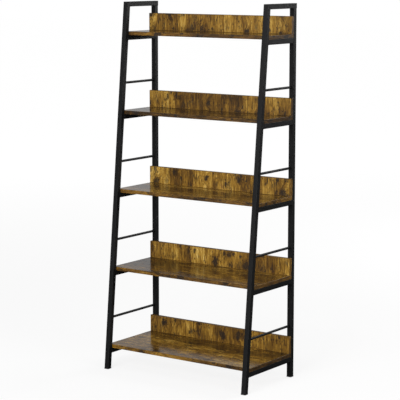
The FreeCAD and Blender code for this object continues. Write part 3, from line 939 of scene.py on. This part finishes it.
# %% [markdown]
# ## Foot caps and rail plugs
# A foot cap is a moulded head, a little wider than the tube, with rounded corners and a
# softened lower edge.  Only the head shows, but the plug behind it is modelled too, so the
# cap is whole when it is taken out.  The plug of the top rail is the same idea on its
# side.  A bevel of the lower edge would run into the rounded corners, so that edge comes
# from insets of the end face, each a little further out, along a quarter circle.  The plug
# steps in by more than its corner radius, where an inset would turn the corners inside
# out, so its border is scaled instead.

# %% Build the caps and plugs
CAP_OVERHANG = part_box("left_front_post")[0].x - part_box("left_front_foot_cap")[0].x
CAP_CORNER = TUBE_RADIUS + CAP_OVERHANG
CAP_LOWER_EDGE = 1.0 * MM
PLUG_EDGE = 0.5 * MM
PLUG_GAP = 0.2 * MM
PLUG_WALL = 2.0 * MM
EDGE_STEPS = 4


def extrude_by(shape, face, move):
    """Extrude one face by a vector and return the moved face."""
    made = bmesh.ops.extrude_face_region(shape, geom=[face])
    bmesh.ops.delete(shape, geom=[face], context="FACES_ONLY")
    moved = next(item for item in made["geom"] if isinstance(item, bmesh.types.BMFace))
    bmesh.ops.translate(shape, verts=list(moved.verts), vec=move)
    return moved


def inset_by(shape, face, amount):
    """Inset one face within its own plane."""
    bmesh.ops.inset_region(shape, faces=[face], thickness=amount, depth=0.0,
                           use_even_offset=True)


def round_off(shape, face, radius, outwards):
    """Round the border of an end face by insets along a quarter circle."""
    inner, outer = 0.0, 0.0
    for step in range(1, EDGE_STEPS + 1):
        turn = step / EDGE_STEPS * math.pi / 2
        inset_by(shape, face, radius * (1 - math.cos(turn)) - inner)
        bmesh.ops.translate(shape, verts=list(face.verts),
                            vec=outwards * (radius * math.sin(turn) - outer))
        inner, outer = radius * (1 - math.cos(turn)), radius * math.sin(turn)


def draw_in(shape, face, amount):
    """Extrude a face in place and scale it so that every side moves in by an amount."""
    inner = extrude_by(shape, face, Vector())
    factors = []
    for axis in range(3):
        spread = [vert.co[axis] for vert in inner.verts]
        extent = max(spread) - min(spread)
        factors.append(1 - 2 * amount / extent if extent > 2 * amount else 1.0)
    bmesh.ops.scale(shape, verts=list(inner.verts), vec=factors,
                    space=Matrix.Translation(-inner.calc_center_bounds()))
    return inner


def hollow_plug(shape, face, length, inwards, step_in):
    """Extrude a hollow plug out of the inner face of a cap's head."""
    foot = draw_in(shape, face, step_in)
    mouth = draw_in(shape, extrude_by(shape, foot, inwards * length), PLUG_WALL)
    extrude_by(shape, mouth, -inwards * length)


def moulded_head(shape, corners, along, corner_radius):
    """Head of a cap: four corners of its outer end, extruded along a vector."""
    outer = shape.faces.new([shape.verts.new(corner) for corner in corners])
    extrude_verts(shape, outer, along)
    lengthwise = [edge for edge in shape.edges if along_direction(edge, along.normalized())]
    round_edges(shape, lengthwise, corner_radius, CORNER_SEGMENTS)
    ends = sorted((face for face in shape.faces if len(face.verts) > 4),
                  key=lambda face: face.calc_center_median().dot(along))
    return ends[0], ends[-1]


def foot_cap(name, post_name, lean, run):
    """Moulded cap under a post."""
    low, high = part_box(name)
    tube_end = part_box(post_name)[0].z
    shoulder = low.z + CAP_LOWER_EDGE
    back = low.y + run + 2 * CAP_OVERHANG
    shape = bmesh.new()
    corners = [(low.x, low.y, shoulder), (high.x, low.y, shoulder),
               (high.x, back, shoulder), (low.x, back, shoulder)]
    upwards = Vector((0, lean, 1))
    outer, inner = moulded_head(shape, corners, upwards * (tube_end - shoulder), CAP_CORNER)
    round_off(shape, outer, CAP_LOWER_EDGE, Vector((0, 0, -1)))
    hollow_plug(shape, inner, high.z - tube_end, upwards,
                CAP_OVERHANG + TUBE_WALL + PLUG_GAP)
    return finish_piece(name + "_moulding", shape, [PLASTIC], [name])


def rail_plug(name, rail_name):
    """Moulded plug in the rear end of a top rail."""
    low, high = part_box(name)
    tube_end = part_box(rail_name)[1].y
    shoulder = high.y - PLUG_EDGE
    shape = bmesh.new()
    corners = [(low.x, shoulder, low.z), (high.x, shoulder, low.z),
               (high.x, shoulder, high.z), (low.x, shoulder, high.z)]
    inwards = Vector((0, -1, 0))
    outer, inner = moulded_head(shape, corners, inwards * (shoulder - tube_end), TUBE_RADIUS)
    round_off(shape, outer, PLUG_EDGE, -inwards)
    hollow_plug(shape, inner, tube_end - low.y, inwards, TUBE_WALL + PLUG_GAP)
    return finish_piece(name + "_moulding", shape, [PLASTIC], [name])


for side_word in SIDES:
    foot_cap(side_word + "_front_foot_cap", side_word + "_front_post", LEAN, POST_RUN)
    foot_cap(side_word + "_rear_foot_cap", side_word + "_rear_post", 0.0, TUBE)
    rail_plug(side_word + "_top_rail_plug", side_word + "_top_rail")

# %% [markdown]
# ## Laminated boards
# A board is a slab whose arrises are eased by less than a millimetre.  An inset just inside
# each face, sunk by a few hundredths, leaves the glue line between the face and the edge
# band, which catches light on a real board.  Faces and bands get their own finish.  Each
# board also has a tone of its own, lighter or darker.  The back boards' tones stand for
# boards cut from different sheets.  The shelves' tones are partly that and partly painted
# shade, which makes the two upper shelves darker to offset the stronger light they get from above.

# %% Build the boards
ARRIS = 0.8 * MM
ARRIS_SEGMENTS = 3
GLUE_LINE = 0.35 * MM
GLUE_DEPTH = 0.06 * MM


def laminated_board(name, face_axis, face_finish, band_finish, shift, tone):
    """Board whose printed faces look along face_axis."""
    low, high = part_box(name)
    centre = (low + high) / 2
    size = high - low
    shape = bmesh.new()
    fit = Matrix.Translation(centre) @ Matrix.Diagonal((*size, 1.0))
    bmesh.ops.create_cube(shape, size=1.0, matrix=fit)
    round_edges(shape, list(shape.edges), ARRIS, ARRIS_SEGMENTS)
    printed = [face for face in shape.faces if abs(face.normal[face_axis]) > SAME_WAY]
    for face in shape.faces:
        face.material_index = 1
    ring = bmesh.ops.inset_individual(shape, faces=printed, thickness=GLUE_LINE,
                                      depth=-GLUE_DEPTH, use_even_offset=True)
    for face in ring["faces"]:
        face.material_index = 1
    for face in printed:
        face.material_index = 0
    shift_layer = shape.verts.layers.float_vector.new("shift")
    tone_layer = shape.verts.layers.float.new("tone")
    for vert in shape.verts:
        vert[shift_layer] = Vector(shift)
        vert[tone_layer] = tone
    return finish_piece(name + "_panel", shape, [face_finish, band_finish], [name])


# Shelf tones: partly each board's own tone, partly painted shade that darkens the upper shelves
# against the stronger light from above.
SHELF_TONES_AND_SHADE = (-0.09, -0.11, 0.01, -0.01, 0.03)
BACK_TONES = (-0.01, -0.06, 0.02, -0.01, 0.0)
for board_number in range(1, SHELF_COUNT + 1):
    shelf_shift = (0.91 * board_number, 0.57 * board_number, 0.0)
    back_shift = (0.83 * board_number + 0.4, 0.0, 0.41 * board_number)
    laminated_board("shelf_{}".format(board_number), 2, SHELF_FACE, SHELF_BAND,
                    shelf_shift, SHELF_TONES_AND_SHADE[board_number - 1])
    laminated_board("back_board_{}".format(board_number), 1, BACK_FACE, BACK_BAND,
                    back_shift, BACK_TONES[board_number - 1])
print("boards", 2 * SHELF_COUNT)

# %% [markdown]
# ## Bolts and insert nuts
# A button head bolt is turned: half of its outline, threads and all, is spun round its
# axis.  The hexagon socket is a six-sided hole that a boolean sinks into the crown.  One
# bolt of each length is built pointing up and then copied to every place.

# %% Turned fasteners
BOLT_SEGMENTS = 24
HEAD_HEIGHT = 3.0 * MM
HEAD_RIM = 1.0 * MM
CROWN_RADIUS = 3.2 * MM
SHANK_RADIUS = 3.0 * MM
SOCKET_RADIUS = 4.0 * MM / math.sqrt(3)
SOCKET_DEPTH = 1.8 * MM
THREAD_PITCH = 1.0 * MM
THREAD_DEPTH = 0.32 * MM
SLEEVE_LIP = 0.4 * MM
SLEEVE_CLEARANCE = 0.05 * MM
CROWN_STEPS = 6
ON_AXIS = 0.002 * MM
CROWN_FLAT = 0.99 * HEAD_HEIGHT


def spin_outline(shape, outline):
    """Spin half an outline, given as radius and height, into a closed solid of revolution."""
    verts = [shape.verts.new((radius, 0, height)) for radius, height in outline]
    edges = [shape.edges.new(pair) for pair in zip(verts, verts[1:])]
    bmesh.ops.spin(shape, geom=verts + edges, cent=(0, 0, 0), axis=(0, 0, 1), dvec=(0, 0, 0),
                   angle=2 * math.pi, steps=BOLT_SEGMENTS, use_merge=True, use_duplicate=False)
    bmesh.ops.remove_doubles(shape, verts=shape.verts, dist=ON_AXIS)
    poles = [vert for vert in shape.verts if vert.co.xy.length < ON_AXIS]
    bmesh.ops.dissolve_verts(shape, verts=poles)


def bolt_shape(head_radius, length):
    """Button head bolt along +Z with its head's seat at the origin."""
    outline = [(0, -HEAD_HEIGHT), (CROWN_RADIUS, -HEAD_HEIGHT)]
    for step in range(1, CROWN_STEPS + 1):
        turn = step / CROWN_STEPS * math.pi / 2
        outline.append((CROWN_RADIUS + (head_radius - CROWN_RADIUS) * math.sin(turn),
                        -HEAD_RIM - (HEAD_HEIGHT - HEAD_RIM) * math.cos(turn)))
    outline += [(head_radius, 0), (SHANK_RADIUS, 0)]
    turns = int((length - 2 * THREAD_PITCH) / THREAD_PITCH)
    start = length - turns * THREAD_PITCH
    outline.append((SHANK_RADIUS, start))
    for turn in range(turns):
        outline.append((SHANK_RADIUS - THREAD_DEPTH, start + (turn + 0.5) * THREAD_PITCH))
        outline.append((SHANK_RADIUS, start + (turn + 1) * THREAD_PITCH))
    outline.append((0, length))
    shape = bmesh.new()
    spin_outline(shape, outline)
    socket = bmesh.new()
    bmesh.ops.create_cone(socket, cap_ends=True, segments=6, radius1=SOCKET_RADIUS,
                          radius2=SOCKET_RADIUS, depth=SOCKET_DEPTH * 2,
                          matrix=Matrix.Translation((0, 0, -HEAD_HEIGHT)))
    bolt = subtract(shape, socket)
    layer = bolt.verts.layers.float.new("edge")
    for vert in bolt.verts:
        if vert.co.z < -CROWN_FLAT:
            vert[layer] = 1.0
    return bolt


def sleeve_shape(outer, length):
    """Insert nut along +Z with its mouth at the origin."""
    bore = SHANK_RADIUS + SLEEVE_CLEARANCE
    shape = bmesh.new()
    spin_outline(shape, [(bore, 0), (outer - SLEEVE_LIP, 0), (outer, SLEEVE_LIP),
                         (outer, length), (bore, length), (bore, 0)])
    return shape


def copies(master, places):
    """Bmesh with one copy of the master at each place."""
    mesh = bpy.data.meshes.new("master")
    whole = bmesh.new()
    for place in places:
        copy = master.copy()
        bmesh.ops.transform(copy, matrix=place, verts=copy.verts)
        copy.to_mesh(mesh)
        copy.free()
        whole.from_mesh(mesh)
    bpy.data.meshes.remove(mesh)
    master.free()
    return whole


# %% Build the fasteners
def build_fasteners(node_name, build_master, material, turn, overlap):
    """All the fasteners of one node; overlap is how far they reach behind their seat."""
    boxes = solid_boxes(node_name)
    low, high = boxes[0]
    size = high - low
    length = (size.z if turn is UPRIGHT else size.y) - overlap
    places = []
    for low, high in boxes:
        seat = (low + high) / 2
        if turn is UPRIGHT:
            seat.z = low.z + overlap
        else:
            seat.y = high.y - overlap
        places.append(Matrix.Translation(seat) @ turn)
    whole = copies(build_master(size.x / 2, length), places)
    print(node_name, len(places), "of", round(length / MM, 1), "mm")
    return finish_piece(node_name + "_set", whole, [material], [node_name])


for node_name, turn in (("shelf_bolts", UPRIGHT), ("back_board_bolts", FORWARDS)):
    build_fasteners(node_name, bolt_shape, BOLT_STEEL, turn, HEAD_HEIGHT)
for node_name, turn in (("shelf_insert_nuts", UPRIGHT), ("back_board_insert_nuts", FORWARDS)):
    build_fasteners(node_name, sleeve_shape, ZINC, turn, 0.0)

# %% [markdown]
# ## Floor, light and camera
# The shelf stands on a plain pale floor, which glows a little to the camera, so that it
# comes out close to white with a trace of shadow.  One large soft box in front lights the back
# boards and the front faces of the posts evenly.  A weaker one on the right keeps the
# shelf's end from going black, and one behind lights its back and rims its edges.  Above
# the horizon the room is a pale grey, which the shelf tops mirror at a low angle; below it
# the reflections are dark, so the black steel stays black.

# %% Floor
FLOOR_HALF = 30.0
SHADOWED_SHARE = 0.17
NEAR_GLOW = 0.84
FAR_GLOW = 0.96


def build_floor_finish():
    """Pale matt floor that the camera sees as close to white, with a faint shadow."""
    material, tree, shader = new_material("pale_floor")
    position = object_position(tree)
    cloud = noise(tree, position, 2.5, detail=4.0)
    bounce = ramp(tree, cloud, [(0.3, (0.80, 0.80, 0.80)), (0.7, (0.84, 0.84, 0.835))])
    seen = wire(tree, "ShaderNodeLightPath").outputs["Is Camera Ray"]
    connect(tree, shader, blend(tree, seen, bounce, (*[SHADOWED_SHARE] * 3, 1.0)))
    shader.inputs["Roughness"].default_value = 0.9
    shader.inputs["Specular IOR Level"].default_value = 0.0
    shader.inputs["Emission Color"].default_value = (1.0, 1.0, 1.0, 1.0)
    away = wire(tree, "ShaderNodeVectorMath", {0: position}, operation="LENGTH").outputs["Value"]
    glow = remap(tree, away, 1.0, 7.0, NEAR_GLOW, FAR_GLOW, smooth=True)
    tree.links.new(times(tree, seen, glow), shader.inputs["Emission Strength"])
    return material


floor_shape = bmesh.new()
bmesh.ops.create_grid(floor_shape, x_segments=1, y_segments=1, size=FLOOR_HALF)
floor_mesh = bpy.data.meshes.new("floor")
floor_shape.to_mesh(floor_mesh)
floor_shape.free()
floor_mesh.materials.append(build_floor_finish())
floor = bpy.data.objects.new("floor", floor_mesh)
bpy.context.scene.collection.objects.link(floor)
floor.visible_glossy = False
print("floor", 2 * FLOOR_HALF, "m wide")

# %% World and lights
HORIZON = 0.50
ZENITH = 0.16
UNDER_HORIZON = 0.05
BACKDROP = 1.0

world = bpy.data.worlds.new("studio")
bpy.context.scene.world = world
world.use_nodes = True
world_tree = world.node_tree
world_tree.nodes.clear()
to_camera = wire(world_tree, "ShaderNodeLightPath").outputs["Is Camera Ray"]
direction = wire(world_tree, "ShaderNodeTexCoord").outputs["Generated"]
height = wire(world_tree, "ShaderNodeSeparateXYZ", {0: direction}).outputs["Z"]
rising = remap(world_tree, height, -0.03, 0.03, UNDER_HORIZON, HORIZON)
surround = remap(world_tree, height, 0.20, 0.60, rising, ZENITH)
brightness = remap(world_tree, to_camera, 0.0, 1.0, surround, BACKDROP)
sky = wire(world_tree, "ShaderNodeBackground", {"Color": (1.0, 1.0, 1.0, 1.0),
                                                "Strength": brightness})
world_output = wire(world_tree, "ShaderNodeOutputWorld")
world_tree.links.new(sky.outputs[0], world_output.inputs["Surface"])
bpy.context.scene.view_settings.view_transform = "Standard"


def from_direction(target, azimuth, elevation, distance):
    """Point at a distance from a target: azimuth 0 is in front of the shelf, 90 to its right."""
    turn = math.radians(azimuth)
    rise = math.radians(elevation)
    away = Vector((math.sin(turn) * math.cos(rise), -math.cos(turn) * math.cos(rise),
                   math.sin(rise)))
    return target + away * distance


def soft_box(name, target, azimuth, elevation, distance, size, power):
    """Large area light that looks at the target and isn't seen itself."""
    light = bpy.data.lights.new(name, "AREA")
    light.shape = "RECTANGLE"
    light.size, light.size_y = size
    light.energy = power
    lamp = bpy.data.objects.new(name, light)
    bpy.context.scene.collection.objects.link(lamp)
    lamp.location = from_direction(target, azimuth, elevation, distance)
    lamp.rotation_euler = (target - lamp.location).to_track_quat("-Z", "Y").to_euler()
    lamp.visible_camera = False
    return lamp


middle = (cad_low + cad_high) / 2
soft_box("front_soft_box", middle, azimuth=6, elevation=16, distance=4.4, size=(2.4, 2.6),
         power=185)
soft_box("right_soft_box", middle, azimuth=78, elevation=34, distance=4.0, size=(1.6, 1.6),
         power=28)
soft_box("rear_soft_box", middle, azimuth=165, elevation=24, distance=4.2, size=(2.0, 2.0),
         power=85)

# %% Camera
CAMERA_AZIMUTH = 35.62
CAMERA_ELEVATION = 8.62
CAMERA_DISTANCE = 6.307
CAMERA_LENS = 141.3
AIM_OFFSET = Vector((0.0093, 0.0, -0.0364))

camera_data = bpy.data.cameras.new("camera")
camera_data.lens = CAMERA_LENS
camera_data.sensor_width = 36.0
camera = bpy.data.objects.new("camera", camera_data)
bpy.context.scene.collection.objects.link(camera)
aim = middle + AIM_OFFSET
camera.location = from_direction(aim, CAMERA_AZIMUTH, CAMERA_ELEVATION, CAMERA_DISTANCE)
camera.rotation_mode = "QUATERNION"
camera.rotation_quaternion = (aim - camera.location).to_track_quat("-Z", "Y")
bpy.context.scene.camera = camera
print("camera", [round(value, 3) for value in camera.location])
